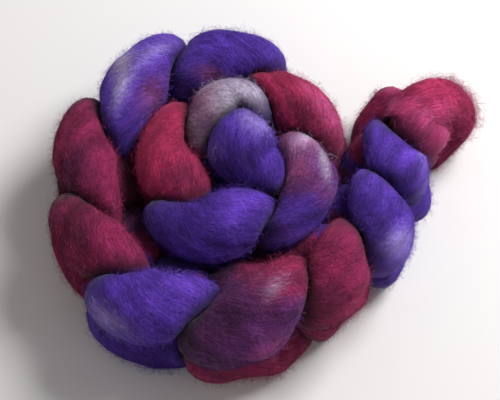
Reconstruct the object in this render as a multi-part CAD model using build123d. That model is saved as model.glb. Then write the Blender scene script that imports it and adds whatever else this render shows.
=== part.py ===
from build123d import *
import math
import os

# A chain-plaited braid of combed wool top, wound on edge into a flat spiral with a short tail.
# Millimetres, +Z up, the resting surface at z = 0.
#
# The braid is one length of fibre. Each stitch is a loop drawn through the loop before it, so it
# holds three runs of that one length: an upper leg and a lower leg, which are the two sides of
# the loop, and a back run, which leads on to the next stitch. Each run is a node. The runs press
# on one another, so they meet face to face and nothing overlaps.

# ---- driving dimensions ----
SPINE_HEIGHT = 31.0  # the chain's middle line, above the resting surface
LEG_RADIUS = 16.0  # thickest point of a leg
LEG_TIP_RADIUS = 9.5  # a leg where it tucks into its neighbours
BACK_RADIUS = 13.0  # thickest point of a back run
BACK_TIP_RADIUS = 8.0
SPREAD_CENTRE = (11.396, -10.306)  # the middle of the whole braid's box, in the stations' own grid
SHORTEST = 2.8  # a run's least length over its radius: a shorter run goes on past its two ends
LEAST_PRESS = 0.1  # two runs that would overlap by less than this only touch
BEADS = 15  # places along a run at which its thickness is compared with a neighbour's

# The chain's middle line at the middle of each stitch, from the centre of the spiral to the tail:
# x, y, the lean of the loops from lying flat (0) to standing on edge (90), the rise above
# SPINE_HEIGHT, and the girth of the stitch against an ordinary one.
STATIONS = [
    (4, 0, 70, 4, 1.06),
    (-2, 44, 66, 3, 1.00),
    (-46, 12, 70, 0, 0.98),
    (-26, -36, 70, 0, 1.04),
    (33, -17, 70, 0, 0.96),
    (33, 35, 74, 0, 0.88),
    (-9, 68, 78, 0, 0.98),
    (-55, 57, 78, 0, 1.04),
    (-87, 13, 78, 0, 0.96),
    (-81, -39, 78, 0, 1.00),
    (-54, -76, 80, 0, 1.14),
    (0, -85, 80, 0, 1.22),
    (46, -58, 82, 0, 1.03),
    (71, -30, 80, 0, 1.05),
    (83, 4, 66, 0, 0.96),
    (91, 33, 80, -3, 1.08),
]
BEFORE_START = (24, -18, 70, 4, 1.1)  # where the middle line would go on at its two ends
AFTER_END = (124, 42, 84, -3, 1.08)

# Each run's two ends, in the chain's own frame: along (in stitches), side (up the loop's plane
# is positive), and out (away from the spiral's centre is positive).
UPPER_LEG = ((-0.02, 13, 13), (1.24, 15, -9))
LOWER_LEG = ((-0.02, -13, 9), (1.24, -15, -11))
BACK_RUN = ((-0.02, -3, -14), (1.08, 3, -17))

STITCHES = len(STATIONS)
LINE = [BEFORE_START] + STATIONS + [AFTER_END]


def middle_line(along):
    """The station at any place along the chain, on a smooth curve through the stations."""
    place = along - 0.5
    first = max(0, min(STITCHES, math.floor(place)))
    f = place - first
    rows = [LINE[max(0, first - 1)], LINE[first], LINE[first + 1], LINE[min(STITCHES + 1, first + 2)]]
    return [
        0.5 * (2 * b + (c - a) * f + (2 * a - 5 * b + 4 * c - d) * f**2 + (3 * b - a - 3 * c + d) * f**3)
        for a, b, c, d in zip(*rows)
    ]


def chain_point(along, side, out):
    """A point in the chain's own frame, as a place in the model."""
    x, y, lean, rise, girth = middle_line(along)
    x_on, y_on = middle_line(along + 0.02)[:2]
    x_back, y_back = middle_line(along - 0.02)[:2]
    forward = Vector(x_on - x_back, y_on - y_back, 0).normalized()
    outward = forward.cross(Vector(0, 0, 1))
    tilt = math.radians(lean)
    face = Vector(0, 0, math.cos(tilt)) + outward * math.sin(tilt)
    across = Vector(0, 0, math.sin(tilt)) - outward * math.cos(tilt)
    place = Vector(x - SPREAD_CENTRE[0], y - SPREAD_CENTRE[1], SPINE_HEIGHT + rise)
    return place + across * side + face * out


class Run:
    """A fat rounded stretch of the strand between two points: a bowed barrel with ball ends."""

    def __init__(self, start, end, middle_radius, tip_radius):
        self.centre = (start + end) * 0.5
        self.along = (end - start).normalized()
        self.tip = max((end - start).length, SHORTEST * middle_radius) / 2
        self.middle = middle_radius
        self.ball = tip_radius
        self.half = self.tip - self.ball
        self.bow = (self.middle**2 - self.ball**2 + self.half**2) / (2 * (self.middle - self.ball))

    def beads(self):
        """Places along the run's line, each with the run's thickness there, as a radius."""
        for i in range(BEADS):
            place = self.half * (2 * i / (BEADS - 1) - 1)
            yield self.centre + self.along * place, self.middle - self.bow + math.sqrt(self.bow**2 - place**2)

    def solid(self):
        """The barrel, turned about its line from an outline of three tangent arcs."""
        bow_centre = self.middle - self.bow
        reach = self.bow / (self.bow - self.ball)
        tangent = (bow_centre - bow_centre * reach, self.half * reach)
        slope = math.atan2(tangent[1] - self.half, tangent[0]) / 2 + math.pi / 4
        shoulder = (self.ball * math.cos(slope), self.half + self.ball * math.sin(slope))
        outline = Wire(
            [
                Line((0, -self.tip), (0, self.tip)),
                ThreePointArc((0, self.tip), shoulder, tangent),
                ThreePointArc(tangent, (self.middle, 0), (tangent[0], -tangent[1])),
                ThreePointArc((tangent[0], -tangent[1]), (shoulder[0], -shoulder[1]), (0, -self.tip)),
            ]
        )
        barrel = revolve(make_face(outline), Axis.Y)
        return Plane(origin=self.centre, z_dir=self.along) * Rot(90, 0, 0) * barrel


def make_runs():
    """Every run of the chain, by node name."""
    runs = {}
    for number in range(1, STITCHES + 1):
        girth = middle_line(number + 0.5)[4]
        for name, ends, middle_radius, tip_radius in (
            ("upper_leg", UPPER_LEG, LEG_RADIUS, LEG_TIP_RADIUS),
            ("lower_leg", LOWER_LEG, LEG_RADIUS, LEG_TIP_RADIUS),
            ("back_run", BACK_RUN, BACK_RADIUS, BACK_TIP_RADIUS),
        ):
            start, end = (chain_point(number + along, side, out) for along, side, out in ends)
            runs[f"stitch_{number:02d}_{name}"] = Run(start, end, middle_radius * girth, tip_radius * girth)
    return runs


def contact(one, other):
    """The flat on which two runs press: a point, and the way from the first to the second, or None.

    Of the ways tried, it is the one in which the two overlap least. The thinner run gives up the
    smaller share of the overlap.
    """
    if (one.centre - other.centre).length > one.tip + other.tip:
        return None
    mine, theirs = list(one.beads()), list(other.beads())
    crossing = one.along.cross(other.along).normalized()
    ways = [(there - here).normalized() for here, _ in mine for there, _ in theirs]
    least = math.inf
    for way in ways + [crossing, crossing * -1]:
        mine_reach = max(place.dot(way) + thick for place, thick in mine)
        overlap = mine_reach - min(place.dot(way) - thick for place, thick in theirs)
        if overlap < LEAST_PRESS:
            return None
        if overlap < least:
            least, reach, chosen = overlap, mine_reach, way
    share = one.middle**2 / (one.middle**2 + other.middle**2)
    return chosen * (reach - least * share), chosen


def pressed_solids(runs):
    """The runs' solids, each cut flat where it presses on a neighbour and where it rests."""
    flats = {name: [(Vector(0, 0, 0), Vector(0, 0, -1))] for name in runs}
    names = list(runs)
    for i, name in enumerate(names):
        for other in names[i + 1 :]:
            met = contact(runs[name], runs[other])
            if met:
                place, way = met
                flats[name].append((place, way))
                flats[other].append((place, way * -1))
    solids = {}
    for name, run in runs.items():
        solid = run.solid()
        for place, way in flats[name]:
            solid = split(solid, bisect_by=Plane(origin=place, z_dir=way), keep=Keep.BOTTOM)
        solids[name] = solid
    return solids


def main():
    os.makedirs("parts", exist_ok=True)
    for node, solid in pressed_solids(make_runs()).items():
        export_step(solid, f"parts/{node}.step")


if __name__ == "__main__":
    main()
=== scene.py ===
import math

import bpy
import numpy as np
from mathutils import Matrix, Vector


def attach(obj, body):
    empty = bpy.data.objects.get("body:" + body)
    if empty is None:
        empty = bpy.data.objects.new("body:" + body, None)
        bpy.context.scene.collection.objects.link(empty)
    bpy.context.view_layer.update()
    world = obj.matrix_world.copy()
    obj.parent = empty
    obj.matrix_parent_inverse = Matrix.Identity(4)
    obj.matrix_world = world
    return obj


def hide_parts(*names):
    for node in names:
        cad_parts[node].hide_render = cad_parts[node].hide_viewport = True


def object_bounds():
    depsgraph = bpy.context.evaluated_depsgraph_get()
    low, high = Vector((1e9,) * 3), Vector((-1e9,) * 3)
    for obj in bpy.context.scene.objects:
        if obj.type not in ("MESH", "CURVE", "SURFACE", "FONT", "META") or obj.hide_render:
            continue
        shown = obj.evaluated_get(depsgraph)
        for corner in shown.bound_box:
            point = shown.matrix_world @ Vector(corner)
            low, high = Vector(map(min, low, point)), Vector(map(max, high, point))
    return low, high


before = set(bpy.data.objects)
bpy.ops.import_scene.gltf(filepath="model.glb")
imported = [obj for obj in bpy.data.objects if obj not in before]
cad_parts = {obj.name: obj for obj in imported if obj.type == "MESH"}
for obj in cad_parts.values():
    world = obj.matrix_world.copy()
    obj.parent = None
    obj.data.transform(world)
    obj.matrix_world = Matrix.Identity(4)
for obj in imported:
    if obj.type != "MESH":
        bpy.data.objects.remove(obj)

# The braid is one length of combed wool top, chained loop through loop and wound into a spiral.
# It is made here as one strand that follows one NURBS route, pressed against itself and against
# the floor, with single wool fibres lying along it and standing off it. Metres throughout.

cad_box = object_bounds()
SEED = 11
random = np.random.default_rng(SEED)

# ---------------------------------------------------------------- the chain, as in the CAD model
SPINE_HEIGHT = 0.031
SPREAD_CENTRE = (0.011396, -0.010306)
# x, y, lean in degrees, rise, girth, at the middle of each stitch
STATIONS = [
    (0.004, 0.000, 70, 0.004, 1.06),
    (-0.002, 0.044, 66, 0.003, 1.00),
    (-0.046, 0.012, 70, 0.000, 0.98),
    (-0.026, -0.036, 70, 0.000, 1.04),
    (0.033, -0.017, 70, 0.000, 0.96),
    (0.033, 0.035, 74, 0.000, 0.88),
    (-0.009, 0.068, 78, 0.000, 0.98),
    (-0.055, 0.057, 78, 0.000, 1.04),
    (-0.087, 0.013, 78, 0.000, 0.96),
    (-0.081, -0.039, 78, 0.000, 1.00),
    (-0.054, -0.076, 80, 0.000, 1.14),
    (0.000, -0.085, 80, 0.000, 1.22),
    (0.046, -0.058, 82, 0.000, 1.03),
    (0.071, -0.030, 80, 0.000, 1.05),
    (0.083, 0.004, 66, 0.000, 0.96),
    (0.091, 0.033, 80, -0.003, 1.08),
]
BEFORE_START = (0.024, -0.018, 70, 0.004, 1.1)
AFTER_END = (0.124, 0.042, 84, -0.003, 1.08)
STITCHES = len(STATIONS)
HEADING_STEP = 0.02  # in stitches, to each side of a place, for the way the chain is heading
LINE = [BEFORE_START] + STATIONS + [AFTER_END]

# One stitch of the strand: along (in stitches), side, out, the strand's radius there, and which
# run it belongs to. The strand rises through the loop before, goes round its own loop, drops back
# through, and runs on behind to the next stitch.
UPPER, TIP, LOWER, BACK = range(4)
STITCH = [
    (0.00, 0.0110, -0.003, 0.0115, UPPER),
    (0.14, 0.0145, 0.013, 0.0145, UPPER),
    (0.60, 0.0170, 0.006, 0.0185, UPPER),
    (1.04, 0.0210, -0.002, 0.0150, UPPER),
    (1.42, 0.0000, -0.004, 0.0110, TIP),
    (1.02, -0.0190, -0.003, 0.0140, LOWER),
    (0.58, -0.0160, 0.001, 0.0165, LOWER),
    (0.14, -0.0140, 0.009, 0.0140, LOWER),
    (0.00, -0.0110, -0.003, 0.0115, LOWER),
    (0.15, -0.0050, -0.018, 0.0140, BACK),
    (0.80, 0.0050, -0.019, 0.0145, BACK),
]


def middle_line(along):
    """The station at any place along the chain, on a smooth curve through the stations."""
    place = along - 0.5
    first = max(0, min(STITCHES, math.floor(place)))
    f = place - first
    rows = [LINE[max(0, first - 1)], LINE[first], LINE[first + 1], LINE[min(STITCHES + 1, first + 2)]]
    return [
        0.5 * (2 * b + (c - a) * f + (2 * a - 5 * b + 4 * c - d) * f**2 + (3 * b - a - 3 * c + d) * f**3)
        for a, b, c, d in zip(*rows)
    ]


def chain_point(along, side, out):
    """A point in the chain's own frame, as a place in the model."""
    x, y, lean, rise, girth = middle_line(along)
    x_on, y_on = middle_line(along + HEADING_STEP)[:2]
    x_back, y_back = middle_line(along - HEADING_STEP)[:2]
    forward = np.array([x_on - x_back, y_on - y_back, 0.0])
    forward /= np.linalg.norm(forward)
    outward = np.cross(forward, (0, 0, 1))
    tilt = math.radians(lean)
    face = np.array([0, 0, math.cos(tilt)]) + outward * math.sin(tilt)
    across = np.array([0, 0, math.sin(tilt)]) - outward * math.cos(tilt)
    place = np.array([x - SPREAD_CENTRE[0], y - SPREAD_CENTRE[1], SPINE_HEIGHT + rise])
    return place + across * side + face * out


# ---------------------------------------------------------------- camera
CAMERA_ELEVATION = math.radians(68)
CAMERA_DISTANCE = 1.0
VIEW_WIDTH = 0.290  # how much width the view takes in at that distance
AIM = (-0.0085, 0.0135, 0.0)


def make_camera():
    data = bpy.data.cameras.new("camera")
    data.sensor_width = 36
    data.lens = data.sensor_width * CAMERA_DISTANCE / VIEW_WIDTH
    camera = bpy.data.objects.new("camera", data)
    bpy.context.scene.collection.objects.link(camera)
    camera.location = (
        AIM[0],
        AIM[1] - CAMERA_DISTANCE * math.cos(CAMERA_ELEVATION),
        AIM[2] + CAMERA_DISTANCE * math.sin(CAMERA_ELEVATION),
    )
    camera.rotation_euler = (math.pi / 2 - CAMERA_ELEVATION, 0, 0)
    bpy.context.scene.camera = camera


# ---------------------------------------------------------------- the strand's route
ROUTE_STEP = 0.0022  # spacing of the points read from the route
ROUTE_RESOLUTION = 24
GIRTH_SPREAD = 0.6  # how far a stitch's legs move apart when its girth grows


def route_line():
    """Evenly spaced points on the strand's NURBS route, and at each one the length so far, the
    strand's radius, the place along the chain, the run, and the number of the stitch."""
    rows = []
    for number in range(1, STITCHES + 1):
        for along, side, out, radius, run in STITCH:
            girth = middle_line(number + 0.5)[4]
            spread = 1 + GIRTH_SPREAD * (girth - 1)
            place = chain_point(number + along, side * spread, out)
            rows.append((place, radius * girth, number + along, run))
    curve = bpy.data.curves.new("route", "CURVE")
    curve.dimensions = "3D"
    curve.resolution_u = ROUTE_RESOLUTION
    spline = curve.splines.new("NURBS")
    spline.points.add(len(rows) - 1)
    for point, (place, *_) in zip(spline.points, rows):
        point.co = (*place, 1)
    spline.order_u = 3
    spline.use_endpoint_u = True
    holder = bpy.data.objects.new("route", curve)
    mesh = bpy.data.meshes.new_from_object(holder)
    line = np.array([v.co for v in mesh.vertices])
    bpy.data.objects.remove(holder)
    bpy.data.meshes.remove(mesh)
    facts = np.array([(radius, along, run) for _, radius, along, run in rows])
    share = np.linspace(0, len(rows) - 1, len(line))
    columns = [np.interp(share, np.arange(len(rows)), column) for column in facts.T]
    stitch = np.repeat(np.arange(1, STITCHES + 1), len(STITCH))[np.round(share).astype(int)]
    reach = np.concatenate([[0], np.cumsum(np.linalg.norm(np.diff(line, axis=0), axis=1))])
    steps = np.linspace(0, reach[-1], int(reach[-1] / ROUTE_STEP))
    even = np.stack([np.interp(steps, reach, line[:, k]) for k in range(3)], axis=1)
    radius, along, run = (np.interp(steps, reach, column) for column in columns)
    number = stitch[np.searchsorted(reach, steps).clip(0, len(line) - 1)]
    return even, steps, radius, along, run, number


# ---------------------------------------------------------------- small helpers
NOISE_WAVES = 14


def unit(vectors):
    return vectors / np.maximum(np.linalg.norm(vectors, axis=-1, keepdims=True), 1e-9)


def smooth_noise(points, size, seed):
    """Soft noise from about -1 to 1 that changes over the given size, as a sum of slanted waves."""
    chooser = np.random.default_rng(seed)
    directions = unit(chooser.normal(size=(NOISE_WAVES, 3))) * (2 * math.pi / size)
    directions *= chooser.uniform(0.6, 1.5, (NOISE_WAVES, 1))
    phases = chooser.uniform(0, 2 * math.pi, NOISE_WAVES)
    return np.sin(points @ directions.T + phases).sum(-1) / math.sqrt(NOISE_WAVES)


def blurred(values, times):
    """Values on the rings, averaged with their neighbours along the strand and round it."""
    for _ in range(times):
        values = np.concatenate([values[:1], (values[:-2] + 2 * values[1:-1] + values[2:]) / 4, values[-1:]])
        values = (np.roll(values, 1, 1) + 2 * values + np.roll(values, -1, 1)) / 4
    return values


# ---------------------------------------------------------------- the strand's body
SIDES = 44
NEIGHBOUR_ARC = 0.040  # nearer along the strand than this, two places don't press on each other
NEIGHBOUR_ROOM = 0.004  # two places further apart than their radii and this don't touch
NOTHING_NEAR = 1.0  # the limit where nothing presses, in metres: past any radius
PRESS_GAP = 0.0005
LEAST_SHARE = 0.30  # the strand is never squeezed under this share of its radius
MOST_SHARE = 1.6
FLOOR_GAP = 0.0003
CREASE_SOFTNESS = 0.0022  # how gently the surface rolls over into a crease
# The crease mask: the pressed share blurred and steepened. It darkens the dye as painted shade in the
# creases and keeps stray fibres out of them.
CREASE_BLURS = 4
CREASE_STEEPNESS = 5
CREASE_PAINTED_SHADE = 0.70  # painted shade: how much of the dye's brightness is taken off deep in a crease, where shade falls
TURNS_PER_METRE = 7.0  # how the fibres wind round the strand
# Swellings, locks of fibre and the fold between the two halves, as shares of the radius
LUMP_SHARE = 0.055
LOCK_SHARE = 0.034
CLEFT_SHARE = 0.06
LUMP_LENGTH = 0.045
END_TAPER = 0.012
END_SHARE = 0.25  # the radius at the very end, as a share


def carried_sides(line, forward):
    """A way across the strand at each point, carried along it without twist."""
    side = np.zeros_like(line)
    side[0] = unit(np.cross(forward[0], (0.3, 0.2, 1.0)))
    for i in range(1, len(line)):
        carried = side[i - 1] - forward[i] * (side[i - 1] @ forward[i])
        side[i] = carried / np.linalg.norm(carried)
    return side


def free_radius(steps, radius, spin):
    """How far the surface would stand from the line at each point if nothing pressed on it."""
    around = np.stack([np.cos(spin), np.sin(spin), np.zeros_like(spin)], -1)
    along = np.zeros_like(around)
    along[..., 2] = steps[:, None] / LUMP_LENGTH
    lumps = smooth_noise(around + along, 1.6, SEED + 1)
    locks = smooth_noise(around * 2.2 + along * 0.35, 1.3, SEED + 2)
    cleft = np.abs(np.cos(spin + 0.6 * np.sin(steps / 0.05)[:, None]))
    return radius[:, None] * (1 + LUMP_SHARE * lumps + LOCK_SHARE * locks - CLEFT_SHARE * (1 - cleft) ** 3)


def pressing_limit(line, steps, radius, rays):
    """How far the surface may stand from the line before it meets another run, or the floor."""
    limit = np.full(rays.shape[:2], NOTHING_NEAR)
    for i in range(len(line)):
        gap = line - line[i]
        square = (gap**2).sum(1)
        close = square < (radius[i] + radius + NEIGHBOUR_ROOM) ** 2
        near = (np.abs(steps - steps[i]) > NEIGHBOUR_ARC) & close
        if not near.any():
            continue
        reach = rays[i] @ gap[near].T
        push = square[near] + radius[i] ** 2 - radius[near] ** 2
        room = np.where(reach > 1e-6, push / (2 * np.maximum(reach, 1e-6)), NOTHING_NEAR)
        limit[i] = room.min(1) - PRESS_GAP
    down = np.minimum(rays[..., 2], -1e-6)
    floor = np.where(rays[..., 2] < -1e-3, (FLOOR_GAP - line[:, None, 2]) / down, NOTHING_NEAR)
    return np.minimum(limit, floor)


def strand_shape(line, steps, radius):
    """The strand's surface as rings of points, with how far each point is pressed in."""
    forward = unit(np.gradient(line, axis=0))
    side = carried_sides(line, forward)
    normal = np.cross(forward, side)
    turn = (steps * TURNS_PER_METRE * 2 * math.pi)[:, None]
    angle = turn + np.arange(SIDES) * 2 * math.pi / SIDES
    rays = side[:, None] * np.cos(angle)[..., None] + normal[:, None] * np.sin(angle)[..., None]
    free = free_radius(steps, radius, angle - turn)
    limit = pressing_limit(line, steps, radius, rays)
    limit = np.minimum(np.maximum(limit, LEAST_SHARE * free), MOST_SHARE * free)
    mixed = np.clip(0.5 + 0.5 * (limit - free) / CREASE_SOFTNESS, 0, 1)
    shape = limit * (1 - mixed) + free * mixed - CREASE_SOFTNESS * mixed * (1 - mixed)
    shape = blurred(shape, 2)
    ends = np.minimum(1, np.minimum(steps, steps[-1] - steps) / END_TAPER)
    shape = shape * (END_SHARE + (1 - END_SHARE) * np.sqrt(1 - (1 - ends) ** 2))[:, None]
    points = line[:, None] + rays * shape[..., None]
    points[..., 2] = np.maximum(points[..., 2], FLOOR_GAP)
    pressed = blurred(np.clip(1 - limit / free, 0, 1), 2)
    # where the surface lies in a crease: the mask of the painted crease shade, and where stray fibres don't
    # root
    crease = np.clip(blurred(pressed, CREASE_BLURS) * CREASE_STEEPNESS, 0, 1)
    return points, rays, forward, pressed, crease


# ---------------------------------------------------------------- dye, with painted highlights and painted shade
DEEP_VIOLET = (0.036, 0.012, 0.16)
VIOLET = (0.080, 0.026, 0.34)
BRIGHT_VIOLET = (0.145, 0.050, 0.54)
LAVENDER = (0.33, 0.24, 0.66)
WHITE = (0.66, 0.60, 0.76)
GREY = (0.36, 0.30, 0.38)
MAROON = (0.11, 0.010, 0.042)
MAGENTA = (0.30, 0.018, 0.105)
CRIMSON = (0.44, 0.022, 0.100)
ROSE = (0.60, 0.085, 0.26)
PINK = (0.58, 0.32, 0.58)
PLUM = (0.066, 0.012, 0.066)
PURPLE = (0.14, 0.026, 0.18)
DUSTY = (0.27, 0.060, 0.17)

# Each stitch's dye along its upper leg (start, middle, end), then along its lower leg and its back run
DYES = [
    (VIOLET, VIOLET, DEEP_VIOLET, DEEP_VIOLET, DEEP_VIOLET),
    (VIOLET, GREY, DUSTY, DEEP_VIOLET, PLUM),
    (CRIMSON, CRIMSON, MAGENTA, MAROON, MAROON),
    (VIOLET, VIOLET, BRIGHT_VIOLET, DEEP_VIOLET, DEEP_VIOLET),
    (VIOLET, PURPLE, DUSTY, PLUM, PLUM),
    (MAGENTA, CRIMSON, CRIMSON, MAROON, MAROON),
    (VIOLET, VIOLET, VIOLET, VIOLET, VIOLET),
    (BRIGHT_VIOLET, BRIGHT_VIOLET, VIOLET, VIOLET, PLUM),
    (MAROON, MAGENTA, MAGENTA, MAROON, MAROON),
    (MAROON, MAGENTA, MAGENTA, MAGENTA, PLUM),
    (VIOLET, VIOLET, BRIGHT_VIOLET, VIOLET, DEEP_VIOLET),
    (PLUM, PURPLE, MAGENTA, MAGENTA, PLUM),
    (MAGENTA, MAGENTA, MAGENTA, MAGENTA, MAROON),
    (BRIGHT_VIOLET, VIOLET, VIOLET, VIOLET, MAROON),
    (BRIGHT_VIOLET, VIOLET, VIOLET, VIOLET, MAROON),
    (MAGENTA, MAGENTA, CRIMSON, MAGENTA, MAGENTA),
]

# Patches laid over the stitches' dyes: places where the dye took more or less than along the rest of the
# stitch, and, where marked, painted highlights where light falls on a lobe and painted shade on its shaded
# side. Columns: the stitch, x, y, half the patch's length and width, the way it runs in degrees from +X, its
# colour, and how fully it is laid
PATCHES = [
    # painted highlight: a lavender spot on the top of stitch 1
    (1, -0.004, 0.031, 0.009, 0.006, -35, LAVENDER, 0.75),
    (1, -0.028, 0.016, 0.004, 0.004, 0, LAVENDER, 0.50),
    # painted shade on the lower side of stitch 1
    (1, -0.018, 0.006, 0.010, 0.008, 0, DEEP_VIOLET, 0.70),
    (2, -0.023, 0.047, 0.006, 0.006, 50, GREY, 0.60),
    (2, -0.001, 0.058, 0.009, 0.003, -20, LAVENDER, 0.70),
    (2, -0.034, 0.046, 0.009, 0.008, 60, DUSTY, 1.00),
    (2, -0.032, 0.035, 0.008, 0.006, 70, PLUM, 0.80),
    (2, -0.012, 0.050, 0.016, 0.010, 15, WHITE, 1.00),
    (2, 0.007, 0.048, 0.005, 0.008, -60, VIOLET, 0.90),
    (3, -0.057, 0.040, 0.017, 0.007, 100, CRIMSON, 0.80),
    (3, -0.041, 0.004, 0.010, 0.008, -50, MAROON, 0.60),
    # painted highlight on the top of stitch 4
    (4, -0.009, -0.012, 0.015, 0.006, 15, BRIGHT_VIOLET, 0.90),
    # painted shade on the lower left of stitch 4
    (4, -0.052, -0.028, 0.013, 0.009, 20, DEEP_VIOLET, 0.80),
    (5, 0.022, 0.026, 0.006, 0.009, -60, PINK, 1.00),
    (5, 0.024, 0.030, 0.003, 0.005, -60, WHITE, 0.80),
    (5, 0.032, 0.012, 0.010, 0.002, -80, WHITE, 0.75),
    (5, 0.018, 0.002, 0.010, 0.008, -80, DUSTY, 0.90),
    (5, 0.020, -0.019, 0.013, 0.010, 60, VIOLET, 0.85),
    # painted highlight along the outer edge of stitch 6
    (6, 0.032, 0.046, 0.021, 0.005, -50, ROSE, 0.90),
    (6, 0.018, 0.046, 0.013, 0.005, -45, MAROON, 0.80),
    (7, -0.008, 0.082, 0.021, 0.005, 8, BRIGHT_VIOLET, 0.70),
    (7, -0.029, 0.064, 0.010, 0.004, -10, DUSTY, 0.70),
    (7, -0.047, 0.062, 0.012, 0.006, -30, DEEP_VIOLET, 0.80),
    (8, -0.079, 0.060, 0.013, 0.003, 80, WHITE, 0.90),
    (8, -0.063, 0.076, 0.013, 0.003, 40, LAVENDER, 0.80),
    (8, -0.071, 0.066, 0.015, 0.003, 60, LAVENDER, 0.50),
    (8, -0.063, 0.053, 0.012, 0.006, 60, DUSTY, 0.80),
    (8, -0.081, 0.071, 0.008, 0.003, 70, WHITE, 0.80),
    (9, -0.094, 0.038, 0.017, 0.008, 80, MAGENTA, 0.70),
    # painted shade on the lower part of stitch 9
    (9, -0.103, 0.009, 0.012, 0.009, 90, PLUM, 0.70),
    # painted highlight on the side of stitch 10 toward the light
    (10, -0.078, -0.025, 0.010, 0.006, 10, MAGENTA, 0.80),
    # painted shade on the lower left of stitch 10
    (10, -0.103, -0.034, 0.014, 0.007, -30, MAROON, 0.90),
    (11, -0.051, -0.060, 0.017, 0.009, 10, BRIGHT_VIOLET, 0.85),
    (11, -0.084, -0.078, 0.015, 0.004, -35, LAVENDER, 0.95),
    (11, -0.080, -0.059, 0.013, 0.006, -10, VIOLET, 0.70),
    (12, 0.011, -0.050, 0.015, 0.005, 5, CRIMSON, 1.00),
    (12, 0.004, -0.065, 0.007, 0.002, 60, WHITE, 0.70),
    # painted shade on the lower left of stitch 12
    (12, -0.018, -0.077, 0.016, 0.012, 20, PLUM, 1.00),
    (12, 0.014, -0.077, 0.010, 0.006, 40, PURPLE, 0.90),
    (12, -0.005, -0.060, 0.009, 0.005, 30, DUSTY, 0.60),
    (13, 0.044, -0.034, 0.015, 0.008, 80, MAGENTA, 0.70),
    # painted shade on the lower left of stitch 13
    (13, 0.030, -0.072, 0.015, 0.007, 40, MAROON, 0.70),
    (14, 0.064, -0.003, 0.015, 0.007, -60, BRIGHT_VIOLET, 0.80),
    (14, 0.071, -0.036, 0.008, 0.006, 20, LAVENDER, 1.00),
    (14, 0.061, -0.028, 0.010, 0.005, -70, DEEP_VIOLET, 0.70),
    # paler along the right-hand rim of stitch 15
    (15, 0.076, 0.032, 0.010, 0.004, -30, LAVENDER, 0.85),
    (15, 0.086, 0.021, 0.012, 0.003, -85, LAVENDER, 0.50),
    (15, 0.067, 0.017, 0.013, 0.011, -70, BRIGHT_VIOLET, 0.85),
    # painted highlight: the bright top edge of stitch 16
    (16, 0.090, 0.040, 0.016, 0.008, -10, ROSE, 0.60),
    (16, 0.060, 0.035, 0.007, 0.007, 45, DUSTY, 0.90),
]


LEG_STITCHES = 1.2  # how far a leg's dyes run along the chain, in stitches
# How far the edge between two dyes wanders: the wandering's size, and its strength
EDGE_BLOTCHES = (0.030, 0.16)
EDGE_FRAY = (0.008, 0.08)
TONE_BLOTCHES = (0.013, 0.24)  # and how the dye's brightness does


def dye_with_painted_light(points, number, run, along, crease):
    """The colour at each surface point: the stitch's dyes run into one another with a ragged edge, the
    patches are laid over them (painted highlights and painted shade among them), and painted shade darkens
    the creases.
    """
    place = np.clip(along - number, 0, LEG_STITCHES) / LEG_STITCHES
    blotch = smooth_noise(points, EDGE_BLOTCHES[0], SEED + 3)
    ragged = EDGE_BLOTCHES[1] * blotch + EDGE_FRAY[1] * smooth_noise(points, EDGE_FRAY[0], SEED + 4)
    spot = np.clip(place[:, None] + ragged, 0, 1)
    dyes = np.array(DYES)[number - 1]
    start, middle, end, lower, back = (dyes[:, None, k] for k in range(5))
    first = np.clip(spot * 2, 0, 1)[..., None]
    second = np.clip(spot * 2 - 1, 0, 1)[..., None]
    upper = start * (1 - first) + middle * first
    upper = upper * (1 - second) + end * second
    to_lower = np.clip(run[:, None] + ragged - 0.5, 0, 1)[..., None]
    to_back = np.clip(run[:, None] + ragged - 2.0, 0, 1)[..., None]
    colour = upper * (1 - to_lower) + lower * to_lower
    colour = colour * (1 - to_back) + back * to_back
    # Each patch lays its colour over the dye: some are dye that took more or less, some are painted
    # highlights and painted shade.
    for stitch, x, y, half_length, half_width, heading, dye, strength in PATCHES:
        mine = (number == stitch)[:, None] * (run < LOWER - 0.5)[:, None]
        turn = math.radians(heading)
        dx, dy = points[..., 0] - x, points[..., 1] - y
        lengthwise = (dx * math.cos(turn) + dy * math.sin(turn)) / half_length
        crosswise = (dy * math.cos(turn) - dx * math.sin(turn)) / half_width
        far = lengthwise**2 + crosswise**2 + 1.6 * ragged
        share = strength * np.exp(-0.8 * np.maximum(far, 0)) * mine
        colour = colour * (1 - share[..., None]) + np.array(dye) * share[..., None]
    blotch = smooth_noise(points, TONE_BLOTCHES[0], SEED + 5)
    # Random tone from the blotches, and painted shade deep in the creases
    tone = np.exp(TONE_BLOTCHES[1] * blotch) * (1 - CREASE_PAINTED_SHADE * crease)
    return colour * tone[..., None]


def mesh_object(name, points, faces):
    """A smooth mesh object from points and faces of one size."""
    mesh = bpy.data.meshes.new(name)
    sides = faces.shape[1]
    mesh.vertices.add(len(points))
    mesh.vertices.foreach_set("co", points.astype(np.float32).ravel())
    mesh.loops.add(faces.size)
    mesh.loops.foreach_set("vertex_index", faces.astype(np.int32).ravel())
    mesh.polygons.add(len(faces))
    mesh.polygons.foreach_set("loop_start", np.arange(0, faces.size, sides, dtype=np.int32))
    mesh.update(calc_edges=True)
    mesh.polygons.foreach_set("use_smooth", np.full(len(faces), True))
    thing = bpy.data.objects.new(name, mesh)
    bpy.context.scene.collection.objects.link(thing)
    return thing


def strand_faces(rings):
    """The faces of a closed tube of rings: quads along it, and a fan of quads over each end."""
    i = np.arange(rings - 1)[:, None]
    j = np.arange(SIDES)[None]
    k = (j + 1) % SIDES
    tube = np.stack([i * SIDES + j, i * SIDES + k, (i + 1) * SIDES + k, (i + 1) * SIDES + j], -1)
    half = SIDES // 2
    n = np.arange(half - 1)
    caps = []
    for base, flip in ((0, True), ((rings - 1) * SIDES, False)):
        quads = np.stack([n, n + 1, (SIDES - n - 2) % SIDES, SIDES - n - 1], -1) + base
        caps.append(quads[:, ::-1] if flip else quads)
    return np.concatenate([tube.reshape(-1, 4), *caps])


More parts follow.
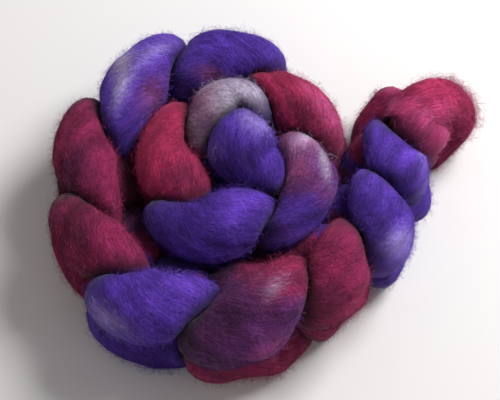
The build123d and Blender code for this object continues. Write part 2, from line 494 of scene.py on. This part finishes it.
# ---------------------------------------------------------------- materials
def wool(name, colour=None):
    """Matt wool with a faint sheen. With no colour, the dye comes from the mesh's own colours, painted shade
    and highlights included, and fibre streaks tint it: darker in their grooves as painted shade.
    """
    material = bpy.data.materials.new(name)
    material.use_nodes = True
    nodes, links = material.node_tree.nodes, material.node_tree.links
    shader = nodes["Principled BSDF"]
    shader.inputs["Roughness"].default_value = 0.85
    shader.inputs["Specular IOR Level"].default_value = 0.25
    shader.inputs["Sheen Weight"].default_value = 0.10
    shader.inputs["Sheen Roughness"].default_value = 0.55
    if colour is not None:
        shader.inputs["Base Color"].default_value = (*colour, 1)
        shader.inputs["Sheen Tint"].default_value = (*[min(1, 0.45 + c) for c in colour], 1)
        return material
    dye = nodes.new("ShaderNodeAttribute")
    dye.attribute_name = "dye"
    lie = nodes.new("ShaderNodeUVMap")
    lie.uv_map = "lie"
    stretch = nodes.new("ShaderNodeMapping")
    stretch.inputs["Scale"].default_value = (95, 60, 1)
    streaks = nodes.new("ShaderNodeTexNoise")
    streaks.inputs["Scale"].default_value = 1.0
    streaks.inputs["Detail"].default_value = 4
    streaks.inputs["Roughness"].default_value = 0.7
    # The streaks tint the dye: lighter on their ridges, darker in their grooves, from the same noise as the
    # bump. Fibre tone, and painted shade in the grooves.
    streak_tone_and_groove_shade = nodes.new("ShaderNodeMapRange")
    streak_tone_and_groove_shade.inputs["From Min"].default_value = 0.3
    streak_tone_and_groove_shade.inputs["From Max"].default_value = 0.75
    streak_tone_and_groove_shade.inputs["To Min"].default_value = 0.70
    streak_tone_and_groove_shade.inputs["To Max"].default_value = 1.25
    tint = nodes.new("ShaderNodeVectorMath")
    tint.operation = "SCALE"
    bump = nodes.new("ShaderNodeBump")
    bump.inputs["Strength"].default_value = 0.5
    bump.inputs["Distance"].default_value = 0.0006
    links.new(lie.outputs["UV"], stretch.inputs["Vector"])
    links.new(stretch.outputs["Vector"], streaks.inputs["Vector"])
    links.new(streaks.outputs["Fac"], streak_tone_and_groove_shade.inputs["Value"])
    links.new(dye.outputs["Color"], tint.inputs[0])
    links.new(streak_tone_and_groove_shade.outputs["Result"], tint.inputs["Scale"])
    links.new(tint.outputs["Vector"], shader.inputs["Base Color"])
    links.new(streaks.outputs["Fac"], bump.inputs["Height"])
    links.new(bump.outputs["Normal"], shader.inputs["Normal"])
    return material


def make_strand(points, colours, steps):
    """The strand as one mesh, with its dye in a colour layer and its length in a UV layer. The colour layer
    also holds painted crease shade, painted highlights and painted shade.
    """
    rings = len(points)
    strand = mesh_object("combed_top", points.reshape(-1, 3), strand_faces(rings))
    mesh = strand.data
    dye = mesh.color_attributes.new("dye", "FLOAT_COLOR", "POINT")
    rgba = np.concatenate([colours.reshape(-1, 3), np.ones((rings * SIDES, 1))], 1)
    dye.data.foreach_set("color", rgba.astype(np.float32).ravel())
    lie = mesh.uv_layers.new(name="lie")
    index = np.empty(len(mesh.loops), np.int32)
    mesh.loops.foreach_get("vertex_index", index)
    ring, side = index // SIDES, index % SIDES
    loops = side.reshape(-1, 4)
    wraps = (loops.max(1) == SIDES - 1) & (loops.min(1) == 0)
    side = np.where(wraps[:, None] & (loops == 0), SIDES, loops).ravel()
    uv = np.stack([side / SIDES, steps[ring]], -1)
    lie.data.foreach_set("uv", uv.astype(np.float32).ravel())
    mesh.materials.append(wool("dyed_wool"))
    return strand


# ---------------------------------------------------------------- fibres
FIBRE_POINTS = 5
LAID_FIBRES = 50000  # along the strand
CROSSED_FIBRES = 30000  # short, lying any way over the laid ones
STRAY_FIBRES = 58000  # standing off the surface as fuzz
FIBRES_A_PIECE = 7600
LAID_LENGTH = (0.008, 0.022)
CROSSED_LENGTH = (0.003, 0.010)
STRAY_LENGTH = (0.0018, 0.0062)
LAID_HEADING = 0.20  # how far laid fibres turn from the strand's line, in radians
LAID_LIFT = (0.0, 0.0004)
LOOSE_LIFT = (0.0003, 0.0010)
LAID_WIDTH = (0.00004, 0.00009)
LOOSE_WIDTH = (0.00003, 0.00006)
FIBRE_FLOOR = 0.0004  # no fibre lies lower than this
FUZZ_ROOM = 0.0105  # fuzz stands no higher than this over the CAD box
# The fibres' dyes, by the material that they belong to
PALETTE = {
    "violet": [
        DEEP_VIOLET,
        (0.056, 0.018, 0.24),
        VIOLET,
        (0.110, 0.036, 0.43),
        BRIGHT_VIOLET,
        (0.22, 0.11, 0.62),
    ],
    "magenta": [MAROON, (0.18, 0.014, 0.060), MAGENTA, (0.35, 0.025, 0.098), CRIMSON, ROSE],
    "plum": [(0.030, 0.009, 0.040), PLUM, (0.100, 0.018, 0.115), PURPLE, (0.22, 0.045, 0.20), DUSTY],
    "lavender": [LAVENDER, WHITE, GREY, PINK, (0.48, 0.41, 0.70), (0.42, 0.18, 0.42)],
}
# Ragged ends of fibre that stick out: x, y, z, and how far round that place they stand
TUFTS = [
    (0.056, 0.056, 0.045, 0.010),
    (0.103, 0.058, 0.045, 0.012),
    (0.114, 0.054, 0.035, 0.012),
    (0.002, -0.106, 0.010, 0.010),
    (0.006, -0.061, 0.060, 0.012),
    (0.095, -0.018, 0.030, 0.010),
    (-0.060, -0.097, 0.010, 0.010),
]


def grid_point(grid, along, around):
    """A value on the rings' grid at a broken ring number and a broken side number."""
    i = np.clip(along, 0, len(grid) - 1.001)
    low = i.astype(int)
    part = (i - low)[..., None]
    j = np.mod(around, SIDES)
    left = j.astype(int) % SIDES
    right = (left + 1) % SIDES
    turn = (j - np.floor(j))[..., None]
    near = grid[low, left] * (1 - turn) + grid[low, right] * turn
    far = grid[low + 1, left] * (1 - turn) + grid[low + 1, right] * turn
    return near * (1 - part) + far * part


def fibre_meshes(name, paths, widths):
    """Thin three-sided closed fibres along the paths, tapering to their ends."""
    count, points = paths.shape[:2]
    forward = unit(np.gradient(paths, axis=1))
    side = unit(np.cross(forward, np.array([0.31, 0.17, 0.93])))
    over = np.cross(forward, side)
    taper = np.sin(np.linspace(0.12, math.pi - 0.12, points)) ** 0.5
    rings = []
    for corner in range(3):
        a = corner * 2 * math.pi / 3
        offset = side * math.cos(a) + over * math.sin(a)
        rings.append(paths + offset * (widths[:, None] * taper)[..., None])
    corners = np.stack(rings, 2).reshape(-1, 3)
    base = (np.arange(count) * points * 3)[:, None, None]
    i = np.arange(points - 1)[None, :, None]
    j = np.arange(3)[None, None]
    k = (j + 1) % 3
    a, b, c, d = (base + i * 3 + j, base + i * 3 + k, base + (i + 1) * 3 + k, base + (i + 1) * 3 + j)
    walls = np.concatenate([np.stack([a, b, c], -1), np.stack([a, c, d], -1)], 1).reshape(count, -1, 3)
    first = base[:, 0]
    last = first + (points - 1) * 3
    caps = np.stack([first + [[2, 1, 0]], last + [[0, 1, 2]]], 1).reshape(count, 2, 3)
    return mesh_object(name, corners, np.concatenate([walls, caps], 1).reshape(-1, 3))


def fibre_roots(points, hidden, count):
    """Places on the open surface, as broken ring and side numbers, and how ragged each place is."""
    open_share = np.clip(1 - hidden, 0, 1) * np.clip((points[..., 2] - 0.002) / 0.006, 0, 1)
    open_share[:4] = 0
    open_share[-4:] = 0
    ragged = np.zeros_like(open_share)
    for *place, size in TUFTS:
        ragged = np.maximum(ragged, np.exp(-((points - place) ** 2).sum(-1) / size**2))
    weight = (open_share * (1 + 2.5 * ragged)).ravel()
    chosen = random.choice(weight.size, count, p=weight / weight.sum())
    ring = np.clip(chosen // SIDES + random.uniform(-0.5, 0.5, count), 3, len(points) - 4)
    return ring, chosen % SIDES + random.uniform(-0.5, 0.5, count), ragged.ravel()[chosen]


def lying_fibres(points, rays, ring, around, length, heading, lift):
    """Crimped fibres that follow the surface, each at its own heading from the strand's line."""
    count = len(ring)
    t = np.linspace(-0.5, 0.5, FIBRE_POINTS)
    reach = length[:, None] / ROUTE_STEP
    phase = random.uniform(0, 2 * math.pi, (count, 1))
    crimp = random.uniform(0.05, 0.30, (count, 1)) * np.sin(t * random.uniform(5, 14, (count, 1)) + phase)
    bend = random.normal(0, 0.5, (count, 1)) * t
    go = np.cos(heading[:, None] + bend) * t * reach
    over = np.sin(heading[:, None] + bend) * t * reach
    where_ring = ring[:, None] + go - np.sin(heading)[:, None] * crimp
    where_side = around[:, None] + over + np.cos(heading)[:, None] * crimp
    surface = grid_point(points, where_ring, where_side)
    outward = unit(grid_point(rays, where_ring, where_side))
    arch = lift[:, None] * (0.5 + 0.5 * np.sin(t * 9 + phase)) - 0.0002 * (np.abs(t) > 0.45)
    return surface + outward * arch[..., None]


def standing_fibres(points, rays, forward, ring, around, length):
    """Fine fibres that leave the surface and curl over."""
    count = len(ring)
    s = np.linspace(0, 1, FIBRE_POINTS)[None, :, None]
    root = grid_point(points, ring, around)[:, None]
    up = unit(grid_point(rays, ring, around))[:, None]
    on = forward[ring.astype(int)][:, None]
    across = np.cross(on, up)
    heading = random.uniform(0, 2 * math.pi, (count, 1, 1))
    along = on * np.cos(heading) + across * np.sin(heading)
    beside = across * np.cos(heading) - on * np.sin(heading)
    rise = random.uniform(0.05, 0.85, (count, 1, 1)) ** 1.3
    curl = random.normal(0, 0.5, (count, 1, 1))
    wiggle = 0.06 * np.sin(s * random.uniform(4, 12, (count, 1, 1)) + random.uniform(0, 6, (count, 1, 1)))
    way = along * (s * (1.1 - rise)) + up * (rise * np.sin(s * 2.2) + wiggle)
    way = way + beside * (curl * s**2 + wiggle)
    return root + length[:, None, None] * way


def nearest_dye(tone):
    """The palette colour nearest each tone, with a little chance in it so that the edges mix."""
    table = np.array([dye for dyes in PALETTE.values() for dye in dyes])
    gap = np.linalg.norm(np.cbrt(tone)[:, None] - np.cbrt(table)[None], axis=-1)
    return (gap + random.uniform(0, 0.06, gap.shape)).argmin(1)


def make_fibres(points, rays, forward, pressed, crease, colours):
    """The strand's single fibres: laid along it, crossed over them, and straying off it."""
    kinds = np.repeat([0, 1, 2], [LAID_FIBRES, CROSSED_FIBRES, STRAY_FIBRES])
    laid, crossed, stray = (kinds == k for k in range(3))
    count = len(kinds)
    ring, around, ragged = np.empty((3, count))
    ring[~stray], around[~stray], ragged[~stray] = fibre_roots(points, pressed * 6, (~stray).sum())
    ring[stray], around[stray], ragged[stray] = fibre_roots(points, crease, stray.sum())
    length = np.select(
        [laid, crossed, stray],
        [
            random.uniform(*LAID_LENGTH, count),
            random.uniform(*CROSSED_LENGTH, count),
            random.uniform(*STRAY_LENGTH, count) * (1 + 0.9 * ragged),
        ],
    )
    heading = np.where(laid, random.normal(0, LAID_HEADING, count), random.uniform(-math.pi, math.pi, count))
    lift = np.where(laid, random.uniform(*LAID_LIFT, count), random.uniform(*LOOSE_LIFT, count))
    paths = lying_fibres(points, rays, ring, around, length, heading, lift)
    paths[stray] = standing_fibres(points, rays, forward, ring[stray], around[stray], length[stray])
    paths[..., 2] = np.clip(paths[..., 2], FIBRE_FLOOR, cad_box[1][2] + FUZZ_ROOM)
    tone = grid_point(colours, ring, around)
    tone = tone * np.exp(random.normal(0, 0.20, (count, 1)))
    tone = np.where(laid[:, None], tone, tone * np.exp(random.normal(0.22, 0.35, (count, 1))) + 0.004)
    widths = np.where(laid, random.uniform(*LAID_WIDTH, count), random.uniform(*LOOSE_WIDTH, count))
    return grouped_fibres(paths, widths, nearest_dye(tone))


def grouped_fibres(paths, widths, dye):
    """The fibres as pieces, each of one family of dyes and of FIBRES_A_PIECE fibres at most."""
    made = []
    first = 0
    for family, dyes in PALETTE.items():
        materials = [wool(f"{family}_wool_{k + 1}", colour) for k, colour in enumerate(dyes)]
        mine = np.flatnonzero((dye >= first) & (dye < first + len(dyes)))
        for part in range(math.ceil(len(mine) / FIBRES_A_PIECE)):
            some = mine[part * FIBRES_A_PIECE : (part + 1) * FIBRES_A_PIECE]
            fibres = fibre_meshes(f"{family}_fibres_{part + 1}", paths[some], widths[some])
            for material in materials:
                fibres.data.materials.append(material)
            faces = len(fibres.data.polygons) // len(some)
            index = np.repeat(dye[some] - first, faces).astype(np.int32)
            fibres.data.polygons.foreach_set("material_index", index)
            made.append(fibres)
        first += len(dyes)
    return made


# ---------------------------------------------------------------- floor and light
FLOOR_SIZE = 4
FLOOR_COLOUR = (0.86, 0.855, 0.85, 1)
WINDOW_PLACE = (0.62, 0.44, 0.90)
WINDOW_AIM = (0, 0, 0.02)
WINDOW_SIZE = 0.50
WINDOW_WATTS = 14.8
WINDOW_COLOUR = (1.0, 0.99, 0.985)
ROOM_COLOUR = (1.0, 0.945, 0.93, 1)
ROOM_STRENGTH = 0.30


def make_floor():
    bpy.ops.mesh.primitive_plane_add(size=FLOOR_SIZE, location=(0, 0, 0))
    floor = bpy.context.object
    floor.name = "floor"
    material = bpy.data.materials.new("pale_cloth")
    material.use_nodes = True
    shader = material.node_tree.nodes["Principled BSDF"]
    shader.inputs["Base Color"].default_value = FLOOR_COLOUR
    shader.inputs["Roughness"].default_value = 0.9
    floor.data.materials.append(material)


def make_light():
    """A window to the right and behind, and a soft warm room."""
    data = bpy.data.lights.new("window", "AREA")
    data.size = WINDOW_SIZE
    data.energy = WINDOW_WATTS
    data.color = WINDOW_COLOUR
    window = bpy.data.objects.new("window", data)
    bpy.context.scene.collection.objects.link(window)
    window.location = WINDOW_PLACE
    aim = np.array(WINDOW_AIM) - np.array(WINDOW_PLACE)
    flat = math.hypot(aim[0], aim[1])
    window.rotation_euler = (math.atan2(flat, -aim[2]), 0, math.atan2(aim[1], aim[0]) - math.pi / 2)
    world = bpy.data.worlds.new("soft_room")
    world.use_nodes = True
    background = world.node_tree.nodes["Background"]
    background.inputs["Color"].default_value = ROOM_COLOUR
    background.inputs["Strength"].default_value = ROOM_STRENGTH
    bpy.context.scene.world = world
    bpy.context.scene.view_settings.view_transform = "Standard"


def main():
    make_camera()
    line, steps, radius, along, run, number = route_line()
    points, rays, forward, pressed, crease = strand_shape(line, steps, radius)
    colours = dye_with_painted_light(points, number, run, along, crease)
    strand = make_strand(points, colours, steps)
    fibres = make_fibres(points, rays, forward, pressed, crease, colours)
    nodes = list(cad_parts)
    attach(strand, "root")
    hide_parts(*nodes)
    for piece in fibres:
        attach(piece, "root")
    make_floor()
    make_light()


main()
